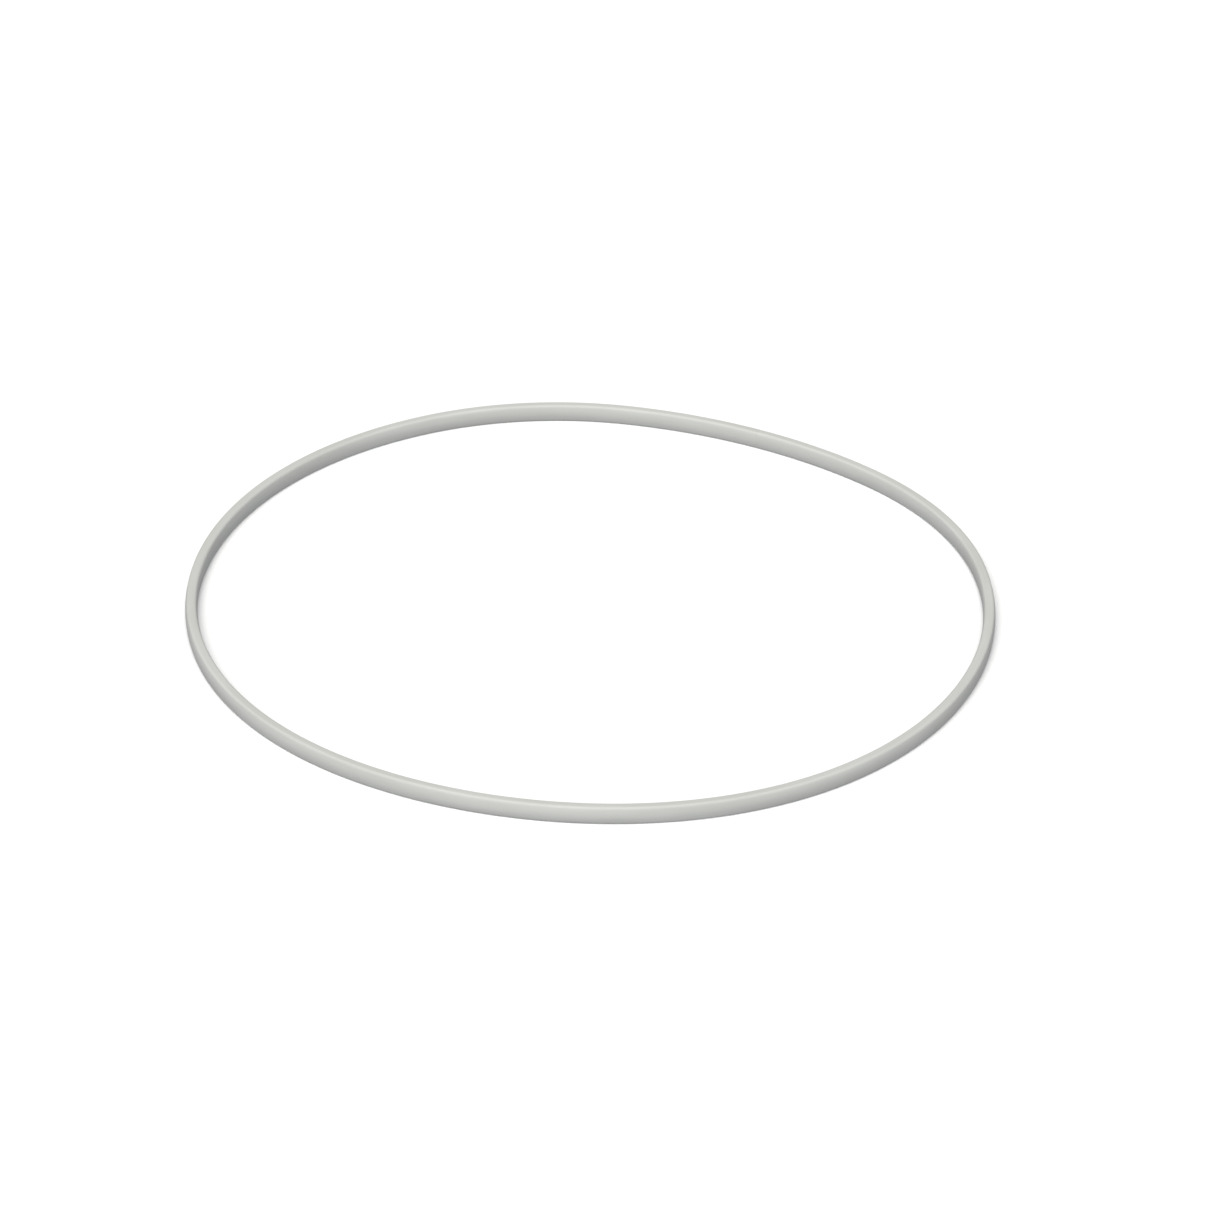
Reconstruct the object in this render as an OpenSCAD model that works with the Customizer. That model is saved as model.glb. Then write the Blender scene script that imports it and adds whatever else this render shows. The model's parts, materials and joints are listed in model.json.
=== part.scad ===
// Rhythmic gymnastics hoop, lying flat on the plane Z = 0.
//
// A hollow plastic band of flat section with bulging sides is bent to a ring. Its two ends
// are pushed over a ribbed plug and locked there by four countersunk drive pins. The band
// is stiffer at the joint, so the ring isn't quite round: a shallow arc at the joint and a
// slightly tight arc on each side of it close the circle of the rest.
// The joint is at the +Y side. The origin is midway across the hoop both ways, on the plane
// that it lies on.

/* [Hoop] */
// Inner diameter of the round part of the hoop
inner_d = 800; // [760:10:900]
// How far the middle of the joint lies inside the circle of the round part
joint_dip = 16; // [8:2:20]

/* [Band] */
// Thickness of the band, along the radius of the hoop
band_t = 12.5; // [12:0.5:15]
// Height of the band, along the axis of the hoop
band_h = 19; // [17:0.5:22]
// Radius of the band's four rounded edges
edge_r = 3.2; // [2.6:0.1:3.6]
// Wall thickness of the hollow band, at the middle of each side
wall = 2.9; // [2.4:0.1:3]
// Radius of the four corners of the hollow
hollow_r = 1; // [0.6:0.1:1.4]
// Gap between the two ends of the band
seam_gap = 0.3; // [0.1:0.1:0.6]

/* [Plug] */
// Length of the plug
plug_l = 76; // [70:2:90]
// Clearance between the plug's ribs and the hollow
plug_fit = 0.1; // [0.05:0.05:0.2]
// Height of the plug's ribs
rib_h = 0.4; // [0.2:0.1:0.6]
// Width of each rib, along the plug
rib_w = 2; // [1:0.5:2.5]
// Number of ribs on each half of the plug
rib_count = 7; // [4:1:8]
// Distance of the outermost ribs from the plug's ends
lead_in = 5; // [3:0.5:6]

/* [Pins] */
// Diameter of a pin's shank
pin_d = 2.4; // [2:0.1:3]
// Length of a pin, from the face of its head to its point
pin_l = 8.5; // [7:0.5:8.5]
// Diameter of a pin's countersunk head
head_d = 4.6; // [4:0.1:5.5]
// Clearance around a pin in its hole, on the radius
pin_fit = 0.05; // [0.02:0.01:0.1]
// Depth of the pin heads below the band's outer wall
head_sink = 0.15; // [0.05:0.05:0.3]

/* [Hidden] */

$fn = 96;
// Number of sides that stands for a circle round the whole hoop
ring_fn = 480;
// How far a cut runs past the face that it opens
past = 1;

// Places of the pins, measured along the band from the seam
pin_places = [-26, -10, 10, 26];

// The centreline of the band, seen from the centre of the round part. The round part ends
// on the two lines that run 4 across for 3 up from there. The joint arc ends on the two
// lines that run 7 across for 24 up from its own centre. An easing arc lies between each
// pair of lines, with its centre where they cross, so all five arcs meet on common tangents.
round_slope = [4, 3];
joint_slope = [7, 24];
round_r = (inner_d + band_t) / 2;
joint_r = round_r + joint_dip * 13 / 2;
joint_y = -joint_dip * 15 / 2;
easing_r = round_r - joint_dip * 7 / 2;
easing_x = joint_dip * 14 / 5;
easing_y = joint_dip * 21 / 10;

// Sizes of the hollow, and of the plug over its ribs
hollow_t = band_t - 2 * wall;
hollow_h = band_h - 2 * wall;
plug_t = hollow_t - 2 * plug_fit;
plug_h = hollow_h - 2 * plug_fit;

// The arcs of the band's outline. Each bulging side meets the rounded edges above and below
// it on the lines that run 24 across for 7 up and down from the centre of the side's arc.
side_slope = [24, 7];
edge_y = band_h / 2 - edge_r;
edge_x = band_t / 2 - edge_r - edge_y / 7;
side_r = edge_r + edge_y * 25 / 7;
side_x = band_t / 2 - side_r;

// Lengths of a pin's head, at 45 degrees, and of its point, and the point's blunt end
head_l = (head_d - pin_d) / 2;
point_l = pin_d / 2;
tip_d = pin_d / 4;

// The angle that a length along the band turns through at the joint
function joint_angle(length) = length / joint_r * 180 / PI;

// A rectangle with its four corners rounded to radius r, centred on the origin
module rounded_rectangle(w, h, r) {
    square([w - 2 * r, h], center = true);
    square([w, h - 2 * r], center = true);
    for (x = [-1, 1], y = [-1, 1])
        translate([x * (w / 2 - r), y * (h / 2 - r)])
            circle(r);
}

// One bulging side of the band's outline, and the rounded edges above and below it. The side
// is drawn between the edges' centres and past its arc, both as multiples of the slope.
module outline_side() {
    above = side_slope;
    below = [side_slope[0], -side_slope[1]];
    inner = edge_y / side_slope[1];
    outer = 2 * inner;
    translate([side_x, 0])
        intersection() {
            circle(side_r);
            polygon([above * inner, above * outer, below * outer, below * inner]);
        }
    for (y = [-1, 1])
        translate([edge_x, y * edge_y])
            circle(edge_r);
}

// Section of the hollow band, X across it and Y up it: flat along the top and bottom, with
// bulging sides
module band_section() {
    difference() {
        union() {
            square([2 * edge_x, band_h], center = true);
            outline_side();
            mirror([1, 0])
                outline_side();
        }
        rounded_rectangle(hollow_t, hollow_h, hollow_r);
    }
}

// Sweeps a section round the Z axis at radius r, through an angle from a start
module bend(r, from, angle) {
    rotate_extrude(angle = angle, start = from, $fn = ring_fn)
        translate([r, 0])
            children();
}

// The sector above the two lines of a slope that meet at the origin
module sector(slope) {
    reach = 1.5 * round_r / slope[1];
    linear_extrude(2 * band_h, center = true)
        polygon([[0, 0], [slope[0] * reach, slope[1] * reach], [-slope[0] * reach, slope[1] * reach]]);
}

// Moves what is drawn round the centre of the joint arc to its place round the round part's
module at_joint_centre() {
    translate([0, joint_y, 0])
        children();
}

// The band's five arcs, closed, drawn round the centre of the round part, with Z = 0
// halfway up the band
module closed_band() {
    difference() {
        bend(round_r, 0, 360) band_section();
        sector(round_slope);
    }
    difference() {
        intersection() {
            union() {
                translate([easing_x, easing_y, 0])
                    bend(easing_r, 0, 90) band_section();
                translate([-easing_x, easing_y, 0])
                    bend(easing_r, 90, 90) band_section();
            }
            sector(round_slope);
        }
        at_joint_centre() sector(joint_slope);
    }
    at_joint_centre()
        intersection() {
            bend(joint_r, 0, 180) band_section();
            sector(joint_slope);
        }
}

// The cut that leaves the gap between the band's two ends
module seam() {
    translate([0, joint_y + joint_r, 0])
        cube([seam_gap, 2 * band_t, 2 * band_h], center = true);
}

// Moves what is drawn round the centre of the round part to its place in the hoop. The
// joint's dip shortens the hoop along Y, so that centre isn't quite midway.
module in_hoop() {
    translate([0, joint_dip / 2, band_h / 2])
        children();
}

// A pin with its head's face at the origin and its point down. extra widens it all
// round, and past_head carries the head's rim up beyond its face.
module pin_shape(extra = 0, past_head = 0) {
    head_r = head_d / 2 + extra;
    shank_r = pin_d / 2 + extra;
    shank_l = pin_l - head_l - point_l;
    translate([0, 0, -head_l])
        cylinder(h = head_l, r1 = shank_r, r2 = head_r);
    translate([0, 0, -head_l - shank_l])
        cylinder(h = shank_l, r = shank_r);
    translate([0, 0, -pin_l - extra])
        cylinder(h = point_l + extra, r1 = tip_d / 2 + extra, r2 = shank_r);
    if (past_head > 0)
        cylinder(h = past_head, r = head_r);
}

// Turns a pin to point in through the outer wall, at its place along the band
module at_pin(place) {
    at_joint_centre()
        rotate([0, 0, -joint_angle(place)])
            translate([0, joint_r + band_t / 2 - head_sink, 0])
                rotate([-90, 0, 0])
                    children();
}

module pin_holes() {
    for (place = pin_places)
        at_pin(place)
            pin_shape(pin_fit, past);
}

// The hollow band, in one piece from the seam right round to the seam again
module hoop_tube() {
    color("gainsboro")
        in_hoop()
            difference() {
                closed_band();
                seam();
                pin_holes();
            }
}

// A stretch of the plug's length, centred on its place along the band, inset from the
// plug's size over its ribs
module plug_stretch(place, length, inset) {
    bend(joint_r, 90 - joint_angle(place + length / 2), joint_angle(length))
        rounded_rectangle(plug_t - 2 * inset, plug_h - 2 * inset, hollow_r);
}

// The plug inside the joint: a core with plain ends that lead it in, and ribs all round it
// that grip the hollow
module joint_plug() {
    last_rib = plug_l / 2 - lead_in;
    pitch = last_rib / (rib_count - 0.5);
    color("whitesmoke")
        in_hoop()
            difference() {
                at_joint_centre() {
                    plug_stretch(0, plug_l, rib_h);
                    for (side = [-1, 1], i = [0 : rib_count - 1])
                        plug_stretch(side * (last_rib - i * pitch), rib_w, 0);
                }
                pin_holes();
            }
}

// One of the drive pins, counted from 1
module joint_pin(number) {
    color("silver")
        in_hoop()
            at_pin(pin_places[number - 1])
                pin_shape();
}

hoop_tube();
joint_plug();
for (number = [1 : len(pin_places)])
    joint_pin(number);
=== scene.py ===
"""The looks of the rhythmic hoop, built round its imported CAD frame.

The band is swept again along the design's five arcs, with fine facets, broken end edges and
the slight unevenness of a bent extrusion. It stands for hoop_tube. The plug and the four
pins keep their CAD shapes and get materials. All sizes are in metres, in the CAD's own
frame: the joint is at +Y and the hoop lies on Z = 0.
"""

import json
import math

import bmesh
import bpy
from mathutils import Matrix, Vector


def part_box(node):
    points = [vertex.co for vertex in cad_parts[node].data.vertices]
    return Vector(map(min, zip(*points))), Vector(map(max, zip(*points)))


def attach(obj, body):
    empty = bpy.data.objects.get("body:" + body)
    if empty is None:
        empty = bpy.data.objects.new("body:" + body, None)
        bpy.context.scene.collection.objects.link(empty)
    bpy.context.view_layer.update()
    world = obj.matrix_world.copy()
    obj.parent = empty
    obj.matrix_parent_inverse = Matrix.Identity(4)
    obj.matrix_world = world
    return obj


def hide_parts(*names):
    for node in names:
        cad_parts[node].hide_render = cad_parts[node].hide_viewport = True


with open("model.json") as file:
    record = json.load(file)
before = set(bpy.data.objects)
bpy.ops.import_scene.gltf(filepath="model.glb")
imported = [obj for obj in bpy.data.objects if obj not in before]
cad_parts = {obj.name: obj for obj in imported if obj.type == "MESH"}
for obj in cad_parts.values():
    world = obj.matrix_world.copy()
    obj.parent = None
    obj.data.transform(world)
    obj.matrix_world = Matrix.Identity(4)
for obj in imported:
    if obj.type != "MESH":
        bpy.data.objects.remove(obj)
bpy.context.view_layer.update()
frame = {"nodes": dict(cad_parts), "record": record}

MM = 0.001
UP = Vector((0, 0, 1))


# ---------------------------------------------------------------- sizes from the frame

def design_length(length):
    """The design's lengths are whole halves of a millimetre, and its facets fall just short."""
    return round(length / MM * 2) / 2 * MM


lowest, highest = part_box("hoop_tube")
HOOP_X = design_length(highest.x - lowest.x)
HOOP_Y = design_length(highest.y - lowest.y)
BAND_H = design_length(highest.z - lowest.z)
MIDDLE_Z = BAND_H / 2

# The lying face's mount is on the centreline, opposite the joint
mounts = {mount["name"]: mount for mount in frame["record"]["mounts"]}
FRONT_Y = mounts["lying_face"]["pos_m"][1]
BAND_T = design_length(2 * (HOOP_Y / 2 + FRONT_Y))

# Sizes that the hoop's box doesn't give. The ends of the real band are pushed together
# until they all but touch.
EDGE_R = 3.2 * MM
WALL = 2.9 * MM
HOLLOW_R = 1.0 * MM
SEAM_GAP = 0.04 * MM

# The section's arcs. Each bulging side meets the rounded edges on lines that run 24 across
# for 7 up, which makes 25 along them.
SIDE_ARC_END = math.atan2(7, 24)
EDGE_Y = BAND_H / 2 - EDGE_R
EDGE_X = BAND_T / 2 - EDGE_R - EDGE_Y / 7
SIDE_R = EDGE_R + EDGE_Y * 25 / 7
SIDE_X = BAND_T / 2 - SIDE_R

# The five arcs, by the design's own formulas, from the hoop's box. The joint's arc ends on
# lines of 7 across for 24 up, and the round part starts on lines of 4 across for 3 up.
JOINT_DIP = HOOP_X - HOOP_Y
ROUND_R = (HOOP_X - BAND_T) / 2
JOINT_R = ROUND_R + JOINT_DIP * 13 / 2
EASING_R = ROUND_R - JOINT_DIP * 7 / 2
ROUND_CENTRE = Vector((0, JOINT_DIP / 2, 0))
JOINT_CENTRE = ROUND_CENTRE - Vector((0, JOINT_DIP * 15 / 2, 0))
EASING_SHIFT = Vector((JOINT_DIP * 14 / 5, JOINT_DIP * 21 / 10, 0))
JOINT_ARC_END = math.atan2(7, 24)
ROUND_ARC_START = math.atan2(4, 3)

JOINT_ARC_L = JOINT_R * JOINT_ARC_END
EASING_ARC_L = EASING_R * (ROUND_ARC_START - JOINT_ARC_END)
HALF_L = JOINT_ARC_L + EASING_ARC_L + ROUND_R * (math.pi - ROUND_ARC_START)
BAND_L = 2 * HALF_L


# ---------------------------------------------------------------- the band's centreline

# How far the band strays from its arcs, as waves round the ring: how many waves, and how far
# out each one goes on its cosine and on its sine, counted from the joint towards -X
UNEVENNESS = [
    (2, 3.0 * MM, 0.7 * MM),
    (3, 3.2 * MM, 1.0 * MM),
    (4, -0.4 * MM, -1.7 * MM),
]


def arc_point(along):
    """The point of the five arcs at a distance from the joint's middle, on its +X side."""
    if along < JOINT_ARC_L:
        centre, radius = JOINT_CENTRE, JOINT_R
        turn = along / JOINT_R
    elif along < JOINT_ARC_L + EASING_ARC_L:
        centre, radius = ROUND_CENTRE + EASING_SHIFT, EASING_R
        turn = JOINT_ARC_END + (along - JOINT_ARC_L) / EASING_R
    else:
        centre, radius = ROUND_CENTRE, ROUND_R
        turn = ROUND_ARC_START + (along - JOINT_ARC_L - EASING_ARC_L) / ROUND_R
    return centre + radius * Vector((math.sin(turn), math.cos(turn), 0))


def unevenness(offset):
    """How far out the band strays at an offset from the round part's centre. It is nothing at the
    joint, which the plug keeps true."""
    angle = math.atan2(-offset.x, offset.y)
    away_from_joint = (1 - math.cos(angle)) / 2
    waves = sum(c * math.cos(n * angle) + s * math.sin(n * angle) for n, c, s in UNEVENNESS)
    return away_from_joint * waves


def centreline(along):
    """The point of the band's centreline at a distance along it from the joint, round by +X."""
    if along <= HALF_L:
        point = arc_point(along)
    else:
        point = arc_point(BAND_L - along)
        point.x = -point.x
    offset = point - ROUND_CENTRE
    return point + offset.normalized() * unevenness(offset) + UP * MIDDLE_Z


def outward(along):
    """The level direction out of the ring, square to the band."""
    step = 1 * MM
    tangent = (centreline(along + step) - centreline(along - step)).normalized()
    return UP.cross(tangent)


# ---------------------------------------------------------------- the band's mesh

# The spacing of the loops along the band, and the facets on each stretch of its outline
RING_STEP = 4.5 * MM
SIDE_STEPS = 10
EDGE_STEPS = 8
FLAT_STEPS = 4
# How far the sharp edges of the band's cut ends are broken
END_BEVEL = 0.12 * MM
QUARTER = math.radians(90)


def arc(centre, radius, start, end, steps):
    """Points along an arc, without its last one."""
    points = []
    for step in range(steps):
        angle = start + (end - start) * step / steps
        points.append(centre + radius * Vector((math.cos(angle), math.sin(angle))))
    return points


def line(start, end, steps):
    """Points along a straight line, without its last one."""
    return [start.lerp(end, step / steps) for step in range(steps)]


def turned_over(half):
    """A whole outline from half of it, from below its outer side to its inner side."""
    return half + [-point for point in half]


def band_outline(inset):
    """Points round the band's section, inset evenly from its outer surface."""
    top = BAND_H / 2 - inset
    radius = EDGE_R - inset
    far_end = math.pi - SIDE_ARC_END
    side = arc(Vector((SIDE_X, 0)), SIDE_R - inset, -SIDE_ARC_END, SIDE_ARC_END, SIDE_STEPS)
    edge = arc(Vector((EDGE_X, EDGE_Y)), radius, SIDE_ARC_END, QUARTER, EDGE_STEPS)
    flat = line(Vector((EDGE_X, top)), Vector((-EDGE_X, top)), FLAT_STEPS)
    far_edge = arc(Vector((-EDGE_X, EDGE_Y)), radius, QUARTER, far_end, EDGE_STEPS)
    return turned_over(side + edge + flat + far_edge)


def hollow_outline():
    """As many points round the hollow, a rounded rectangle."""
    half_t = BAND_T / 2 - WALL
    half_h = BAND_H / 2 - WALL
    corner = Vector((half_t - HOLLOW_R, half_h - HOLLOW_R))
    far_corner = Vector((-corner.x, corner.y))
    side = line(Vector((half_t, -corner.y)), Vector((half_t, corner.y)), SIDE_STEPS)
    edge = arc(corner, HOLLOW_R, 0, QUARTER, EDGE_STEPS)
    flat = line(Vector((corner.x, half_h)), Vector((-corner.x, half_h)), FLAT_STEPS)
    far_edge = arc(far_corner, HOLLOW_R, QUARTER, math.pi, EDGE_STEPS)
    return turned_over(side + edge + flat + far_edge)


def add_ring(mesh, outline, along):
    """One closed loop of vertices: the outline stood square to the band at a place along it."""
    centre = centreline(along)
    out = outward(along)
    return [mesh.verts.new(centre + out * p.x + UP * p.y) for p in outline]


def skin(mesh, ring, next_ring):
    """Quads between two loops that have as many vertices as each other."""
    count = len(ring)
    for i in range(count):
        j = (i + 1) % count
        mesh.faces.new((ring[i], ring[j], next_ring[j], next_ring[i]))


def swept_band():
    """The hollow band, closed at both ends by the cut faces of its wall."""
    outer = band_outline(0)
    outer_end = band_outline(END_BEVEL)
    hollow = hollow_outline()
    first = SEAM_GAP / 2
    last = BAND_L - SEAM_GAP / 2
    start = first + END_BEVEL
    end = last - END_BEVEL
    count = round((end - start) / RING_STEP)
    places = [start + (end - start) * i / count for i in range(count + 1)]

    mesh = bmesh.new()
    outer_rings = [add_ring(mesh, outer_end, first)]
    outer_rings += [add_ring(mesh, outer, place) for place in places]
    outer_rings.append(add_ring(mesh, outer_end, last))
    hollow_rings = [add_ring(mesh, hollow, place) for place in [first] + places + [last]]
    for rings in (outer_rings, hollow_rings):
        for ring, next_ring in zip(rings, rings[1:]):
            skin(mesh, ring, next_ring)
    skin(mesh, outer_rings[0], hollow_rings[0])
    skin(mesh, outer_rings[-1], hollow_rings[-1])
    bmesh.ops.recalc_face_normals(mesh, faces=mesh.faces)
    return mesh


# ---------------------------------------------------------------- the holes for the pins

PINS = sorted(name for name in frame["nodes"] if name.startswith("joint_pin_"))
# The pins' sizes, their clearance in the holes and how deep their heads lie, as in the design
PIN_D = 2.4 * MM
HEAD_D = 4.6 * MM
PIN_FIT = 0.05 * MM
HEAD_SINK = 0.15 * MM
HOLE_SIDES = 48
# A hole ends inside the hollow, and its cutter starts outside the band
HOLE_DEPTH = WALL + 1.5 * MM
CUTTER_PAST = 1 * MM


def hole_cutter(pin):
    """A countersink and its hole, turned to where a pin stands."""
    pin_low, pin_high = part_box(pin)
    place = (pin_low + pin_high) / 2
    place.z = 0
    out = (place - JOINT_CENTRE).normalized()
    sideways = UP.cross(out)
    face = JOINT_CENTRE + out * (JOINT_R + BAND_T / 2 - HEAD_SINK) + UP * MIDDLE_Z
    head_r = HEAD_D / 2 + PIN_FIT
    shank_r = PIN_D / 2 + PIN_FIT
    profile = [
        (head_r, CUTTER_PAST),
        (head_r, 0),
        (shank_r, shank_r - head_r),
        (shank_r, -HOLE_DEPTH),
    ]
    cutter = bmesh.new()
    rings = []
    for radius, depth in profile:
        ring = []
        for i in range(HOLE_SIDES):
            angle = 2 * math.pi * i / HOLE_SIDES
            spoke = sideways * math.cos(angle) + UP * math.sin(angle)
            ring.append(cutter.verts.new(face + out * depth + spoke * radius))
        rings.append(ring)
    for ring, next_ring in zip(rings, rings[1:]):
        skin(cutter, ring, next_ring)
    cutter.faces.new(rings[0])
    cutter.faces.new(rings[-1])
    bmesh.ops.recalc_face_normals(cutter, faces=cutter.faces)
    return cutter


def new_object(name, mesh):
    """A scene object from a bmesh, which is used up."""
    data = bpy.data.meshes.new(name)
    mesh.to_mesh(data)
    mesh.free()
    thing = bpy.data.objects.new(name, data)
    bpy.context.scene.collection.objects.link(thing)
    return thing


def cut(thing, cutter):
    """Takes the cutter's shape out of a mesh object, and removes the cutter."""
    modifier = thing.modifiers.new("cut", "BOOLEAN")
    modifier.operation = "DIFFERENCE"
    modifier.solver = "EXACT"
    modifier.object = cutter
    bpy.context.view_layer.update()
    evaluated = thing.evaluated_get(bpy.context.evaluated_depsgraph_get())
    finished = bpy.data.meshes.new_from_object(evaluated)
    thing.modifiers.remove(modifier)
    thing.data = finished
    bpy.data.objects.remove(cutter)


# Passes that bring a guess to the place along the band that a vertex is square to
SQUARE_PASSES = 3


def store_straight_coordinates(thing):
    """Keeps, for the material, where each vertex would lie if the band were straight: along it
    from the joint, out from its centreline, and up from halfway."""
    attribute = thing.data.attributes.new("straight", "FLOAT_VECTOR", "POINT")
    for vertex in thing.data.vertices:
        offset = vertex.co - ROUND_CENTRE
        angle = math.atan2(offset.x, offset.y) % (2 * math.pi)
        along = angle / (2 * math.pi) * BAND_L
        for _ in range(SQUARE_PASSES):
            out = outward(along)
            along_direction = out.cross(UP)
            along += (vertex.co - centreline(along)).dot(along_direction)
            along = min(max(along, 0), BAND_L)
        gap = vertex.co - centreline(along)
        attribute.data[vertex.index].vector = (along, gap.dot(outward(along)), gap.z)


# Edges that turn more than this are drawn sharp: the rims of the ends and of the pin holes
SHARP_ANGLE = math.radians(32)


def make_band():
    """The finished band piece."""
    band = new_object("hoop_band", swept_band())
    for pin in PINS:
        cut(band, new_object("cutter", hole_cutter(pin)))
    store_straight_coordinates(band)
    band.data.shade_smooth()
    band.data.set_sharp_from_angle(angle=SHARP_ANGLE)
    return band


# ---------------------------------------------------------------- material helpers

class Nodes:
    """A material's node tree, with short ways to add nodes and link them."""

    def __init__(self, name):
        self.material = bpy.data.materials.new(name)
        self.material.use_nodes = True
        self.tree = self.material.node_tree
        self.shader = self.tree.nodes["Principled BSDF"]

    def link(self, source, target):
        """Links an output to an input, or sets the input to a value."""
        if isinstance(source, bpy.types.NodeSocket):
            self.tree.links.new(source, target)
        else:
            target.default_value = source

    def position(self):
        return self.tree.nodes.new("ShaderNodeTexCoord").outputs["Object"]

    def attribute(self, name):
        node = self.tree.nodes.new("ShaderNodeAttribute")
        node.attribute_name = name
        return node.outputs["Vector"]

    def stretched(self, vector, scale):
        """A vector scaled differently along each axis."""
        node = self.tree.nodes.new("ShaderNodeVectorMath")
        node.operation = "MULTIPLY"
        self.link(vector, node.inputs[0])
        node.inputs[1].default_value = scale
        return node.outputs["Vector"]

    def noise(self, vector, scale, detail=2, roughness=0.5):
        node = self.tree.nodes.new("ShaderNodeTexNoise")
        node.inputs["Scale"].default_value = scale
        node.inputs["Detail"].default_value = detail
        node.inputs["Roughness"].default_value = roughness
        self.link(vector, node.inputs["Vector"])
        return node.outputs["Fac"]

    def between(self, value, low, high, to_low=0, to_high=1):
        """Carries low..high of a value over to to_low..to_high, eased and kept within them."""
        node = self.tree.nodes.new("ShaderNodeMapRange")
        node.interpolation_type = "SMOOTHSTEP"
        self.link(value, node.inputs["Value"])
        node.inputs["From Min"].default_value = low
        node.inputs["From Max"].default_value = high
        node.inputs["To Min"].default_value = to_low
        node.inputs["To Max"].default_value = to_high
        return node.outputs["Result"]

    def math(self, operation, a, b):
        node = self.tree.nodes.new("ShaderNodeMath")
        node.operation = operation
        self.link(a, node.inputs[0])
        self.link(b, node.inputs[1])
        return node.outputs["Value"]

    def mix(self, share, first, second):
        node = self.tree.nodes.new("ShaderNodeMix")
        node.data_type = "RGBA"
        self.link(share, node.inputs["Factor"])
        self.link(first, node.inputs["A"])
        self.link(second, node.inputs["B"])
        return node.outputs["Result"]

    def split(self, vector):
        node = self.tree.nodes.new("ShaderNodeSeparateXYZ")
        self.link(vector, node.inputs["Vector"])
        return node.outputs["X"], node.outputs["Y"], node.outputs["Z"]

    def bump(self, height, distance, normal=None):
        """A bump whose full height is distance, in metres."""
        node = self.tree.nodes.new("ShaderNodeBump")
        node.inputs["Strength"].default_value = 1
        node.inputs["Distance"].default_value = distance
        self.link(height, node.inputs["Height"])
        if normal is not None:
            self.link(normal, node.inputs["Normal"])
        return node.outputs["Normal"]

    def finish(self, colour, roughness, normal):
        self.link(colour, self.shader.inputs["Base Color"])
        self.link(roughness, self.shader.inputs["Roughness"])
        self.link(normal, self.shader.inputs["Normal"])
        return self.material


# ---------------------------------------------------------------- materials

BAND_COLOUR = (0.576, 0.581, 0.560, 1)
BAND_DULL = (0.540, 0.543, 0.520, 1)
SCUFF_COLOUR = (0.42, 0.42, 0.40, 1)
NYLON_COLOUR = (0.74, 0.73, 0.68, 1)
NYLON_DULL = (0.66, 0.645, 0.585, 1)
ZINC_COLOUR = (0.62, 0.63, 0.65, 1)
ZINC_DULL = (0.50, 0.50, 0.48, 1)


def band_plastic():
    """Satin extruded polyethylene: cloudy in colour, with fine lines along it from the die, and
    rubbed on its outer side, which rolls on the floor."""
    nodes = Nodes("satin_polyethylene")
    nodes.shader.inputs["Specular IOR Level"].default_value = 0.25
    straight = nodes.attribute("straight")
    _, out, _ = nodes.split(straight)
    clouds = nodes.noise(nodes.stretched(straight, (9, 60, 60)), 1, detail=4, roughness=0.6)
    die_lines = nodes.noise(nodes.stretched(straight, (3, 1400, 1400)), 1, detail=3)
    grain = nodes.noise(straight, 1900, detail=2)

    # Rubbed streaks run along the band, and thin out away from its outer side
    streaks = nodes.noise(nodes.stretched(straight, (45, 900, 900)), 1, detail=5, roughness=0.65)
    streaks = nodes.between(streaks, 0.60, 0.72)
    patches = nodes.between(nodes.noise(straight, 14, detail=2), 0.45, 0.65)
    outer_side = nodes.between(out, BAND_T / 2 - EDGE_R, BAND_T / 2 - EDGE_R / 3, 0.25, 1)
    rubbed = nodes.math("MULTIPLY", nodes.math("MULTIPLY", streaks, patches), outer_side)

    colour = nodes.mix(nodes.between(clouds, 0.3, 0.7), BAND_COLOUR, BAND_DULL)
    colour = nodes.mix(nodes.math("MULTIPLY", rubbed, 0.7), colour, SCUFF_COLOUR)
    roughness = nodes.between(clouds, 0.3, 0.7, 0.56, 0.64)
    roughness = nodes.math("ADD", roughness, nodes.math("MULTIPLY", rubbed, 0.15))
    normal = nodes.bump(die_lines, 0.06 * MM)
    normal = nodes.bump(grain, 0.025 * MM, normal)
    return nodes.finish(colour, roughness, normal)


def plug_nylon():
    """Moulded natural nylon, a little translucent-looking and finely pebbled."""
    nodes = Nodes("moulded_nylon")
    place = nodes.position()
    clouds = nodes.noise(place, 120, detail=3)
    pebbles = nodes.noise(place, 1600, detail=2)
    colour = nodes.mix(clouds, NYLON_COLOUR, NYLON_DULL)
    roughness = nodes.between(clouds, 0.3, 0.7, 0.38, 0.5)
    return nodes.finish(colour, roughness, nodes.bump(pebbles, 0.03 * MM))


def pin_zinc():
    """Zinc-plated steel, its plating patchy and marked by the tool that drove the pin."""
    nodes = Nodes("zinc_plated_steel")
    nodes.shader.inputs["Metallic"].default_value = 1
    place = nodes.position()
    patches = nodes.noise(place, 900, detail=4, roughness=0.6)
    marks = nodes.noise(nodes.stretched(place, (500, 500, 6000)), 1, detail=3)
    colour = nodes.mix(patches, ZINC_COLOUR, ZINC_DULL)
    roughness = nodes.between(patches, 0.3, 0.7, 0.26, 0.42)
    return nodes.finish(colour, roughness, nodes.bump(marks, 0.015 * MM))


def floor_paper():
    """Plain pale paper."""
    nodes = Nodes("pale_paper")
    tooth = nodes.noise(nodes.position(), 700, detail=2)
    nodes.shader.inputs["Specular IOR Level"].default_value = 0.1
    colour = nodes.mix(tooth, (0.955, 0.957, 0.965, 1), (0.945, 0.947, 0.955, 1))
    return nodes.finish(colour, 0.9, nodes.bump(tooth, 0.02 * MM))


def dress(thing, material):
    """Puts one material on a whole object."""
    thing.data.materials.clear()
    thing.data.materials.append(material)


# ---------------------------------------------------------------- camera and lights

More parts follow.
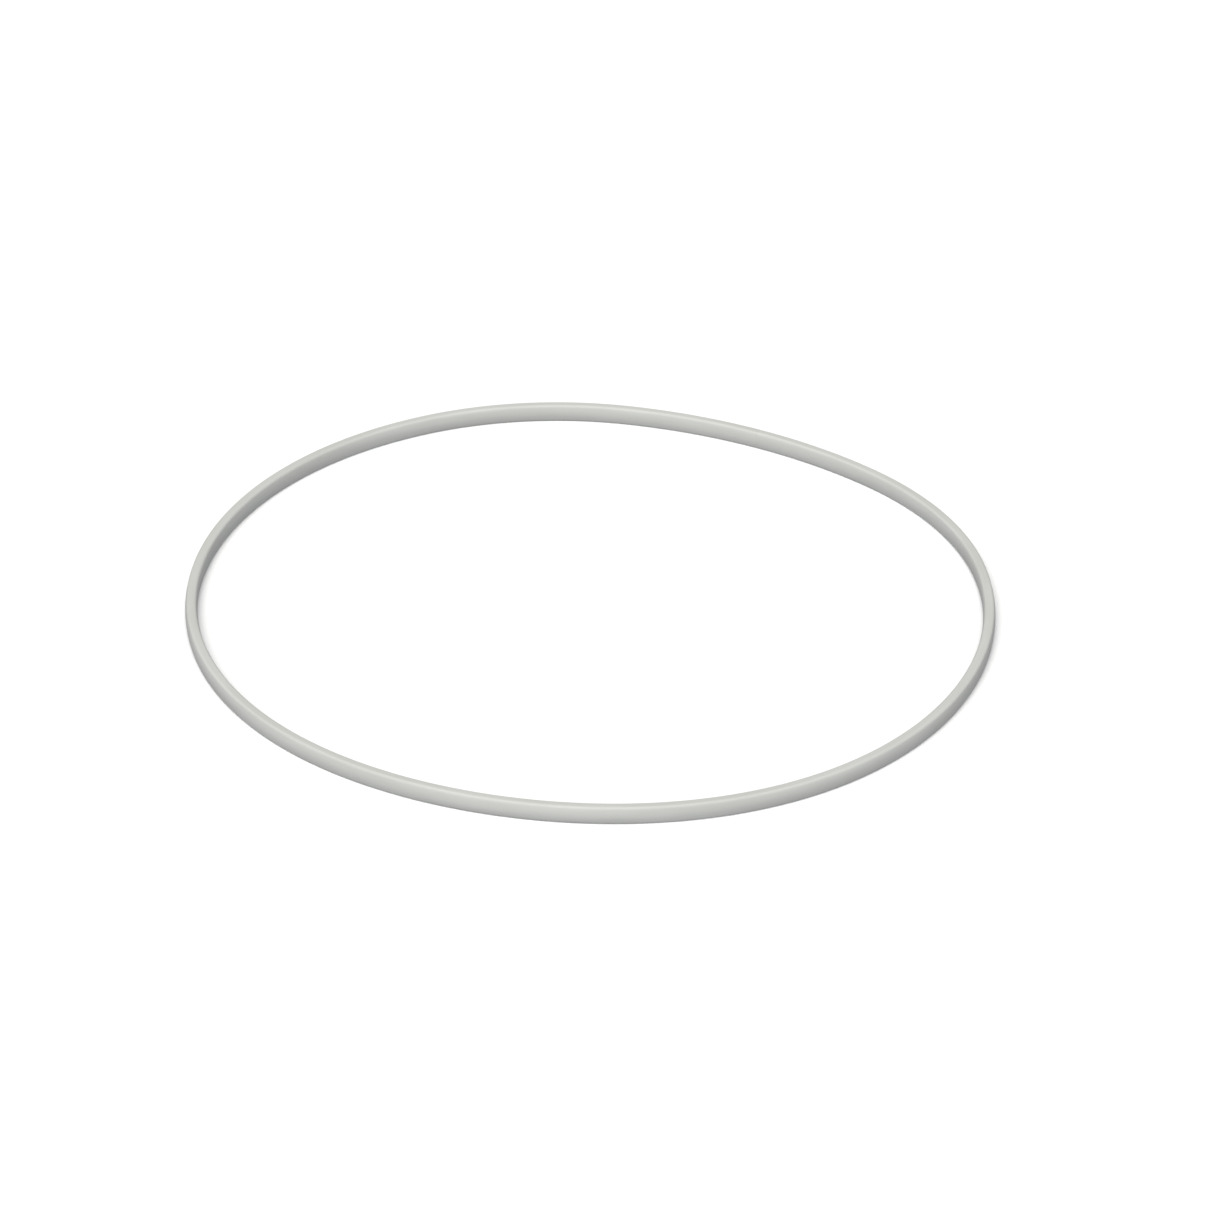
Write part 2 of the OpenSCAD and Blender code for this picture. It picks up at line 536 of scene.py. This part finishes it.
# Where the camera stands, from the hoop's centre: its azimuth from -Y towards +X, its
# elevation and its distance
VIEW_AZIMUTH = math.radians(26.3)
VIEW_ELEVATION = math.radians(30.3)
VIEW_DISTANCE = 6.69
VIEW_ROLL = math.radians(1.41)
LENS = 195.1
# How far the aim lies to the right of the round part's centre and above it, in the picture
AIM_RIGHT = 15.8 * MM
AIM_UP = -5.8 * MM

TOWARDS_CAMERA = Vector((math.sin(VIEW_AZIMUTH), -math.cos(VIEW_AZIMUTH), 0))
PICTURE_RIGHT = UP.cross(TOWARDS_CAMERA)


def add_camera():
    camera = bpy.data.objects.new("camera", bpy.data.cameras.new("camera"))
    bpy.context.scene.collection.objects.link(camera)
    camera.data.lens = LENS
    camera.data.clip_end = 100
    hoop_middle = ROUND_CENTRE + UP * MIDDLE_Z
    back = TOWARDS_CAMERA * math.cos(VIEW_ELEVATION) + UP * math.sin(VIEW_ELEVATION)
    camera.location = hoop_middle + back * VIEW_DISTANCE
    picture_up = back.cross(PICTURE_RIGHT)
    aim = hoop_middle + PICTURE_RIGHT * AIM_RIGHT + picture_up * AIM_UP
    turn = (aim - camera.location).to_track_quat("-Z", "Y")
    camera.rotation_euler = turn.to_euler()
    camera.rotation_euler.rotate_axis("Z", VIEW_ROLL)
    bpy.context.scene.camera = camera


# The light: a wide soft key from high on the camera's side, and a dim sky with a bright band
# just above the horizon, which low views see behind the floor. BOUNCE_STRENGTH is the light
# that the hoop gets from below in place of the floor's own, too strong for a white floor.
KEY_ELEVATION = math.radians(60)
KEY_TO_LEFT = math.radians(14)
KEY_SPREAD = math.radians(50)
KEY_STRENGTH = 3.40
KEY_COLOUR = (1, 0.995, 0.965)
SKY_COLOUR = (0.965, 0.985, 1.02, 1)
SKY_STRENGTH = 0.18
HORIZON_STRENGTH = 1.0
HORIZON_EVEN = math.sin(math.radians(3))
HORIZON_TOP = math.sin(math.radians(8))
BOUNCE_STRENGTH = 0.60


def add_key():
    light = bpy.data.lights.new("key", "SUN")
    light.energy = KEY_STRENGTH
    light.angle = KEY_SPREAD
    light.color = KEY_COLOUR
    lamp = bpy.data.objects.new("key", light)
    level = TOWARDS_CAMERA * math.cos(KEY_TO_LEFT) - PICTURE_RIGHT * math.sin(KEY_TO_LEFT)
    towards_key = level * math.cos(KEY_ELEVATION) + UP * math.sin(KEY_ELEVATION)
    lamp.rotation_euler = (-towards_key).to_track_quat("-Z", "Y").to_euler()
    bpy.context.scene.collection.objects.link(lamp)


def add_sky():
    world = bpy.data.worlds.new("studio")
    world.use_nodes = True
    tree = world.node_tree
    direction = tree.nodes.new("ShaderNodeTexCoord").outputs["Generated"]
    split = tree.nodes.new("ShaderNodeSeparateXYZ")
    tree.links.new(direction, split.inputs["Vector"])
    background = tree.nodes["Background"]
    background.inputs["Color"].default_value = SKY_COLOUR

    strength = tree.nodes.new("ShaderNodeFloatCurve")
    # The curve runs from straight down, at 0, to straight up, at 1, with the horizon midway
    height = tree.nodes.new("ShaderNodeMapRange")
    height.inputs["From Min"].default_value = -1
    tree.links.new(split.outputs["Z"], height.inputs["Value"])
    tree.links.new(height.outputs["Result"], strength.inputs["Value"])
    curve = strength.mapping.curves[0]
    curve.points[0].location = (0, BOUNCE_STRENGTH)
    curve.points[1].location = (1, SKY_STRENGTH)
    for place, value in (
        (0.5 - HORIZON_EVEN / 2, BOUNCE_STRENGTH),
        (0.5, HORIZON_STRENGTH),
        (0.5 + HORIZON_EVEN / 2, HORIZON_STRENGTH),
        (0.5 + HORIZON_TOP / 2, SKY_STRENGTH),
    ):
        curve.points.new(place, value)
    for point in curve.points:
        point.handle_type = "VECTOR"
    strength.mapping.update()
    tree.links.new(strength.outputs["Value"], background.inputs["Strength"])
    bpy.context.scene.world = world


FLOOR_SIZE = 60


def add_floor():
    bpy.ops.mesh.primitive_plane_add(size=FLOOR_SIZE)
    floor = bpy.context.object
    floor.name = "floor"
    dress(floor, floor_paper())
    # The sky's lower half stands for it in the light that the hoop gets, as said above
    floor.visible_diffuse = False
    floor.visible_glossy = False


# ---------------------------------------------------------------- the scene

add_camera()
add_key()
add_sky()
add_floor()

band = make_band()
dress(band, band_plastic())
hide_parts("hoop_tube")
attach(band, "root")

dress(frame["nodes"]["joint_plug"], plug_nylon())
zinc = pin_zinc()
for pin in PINS:
    dress(frame["nodes"][pin], zinc)

bpy.context.scene.view_settings.view_transform = "Standard"
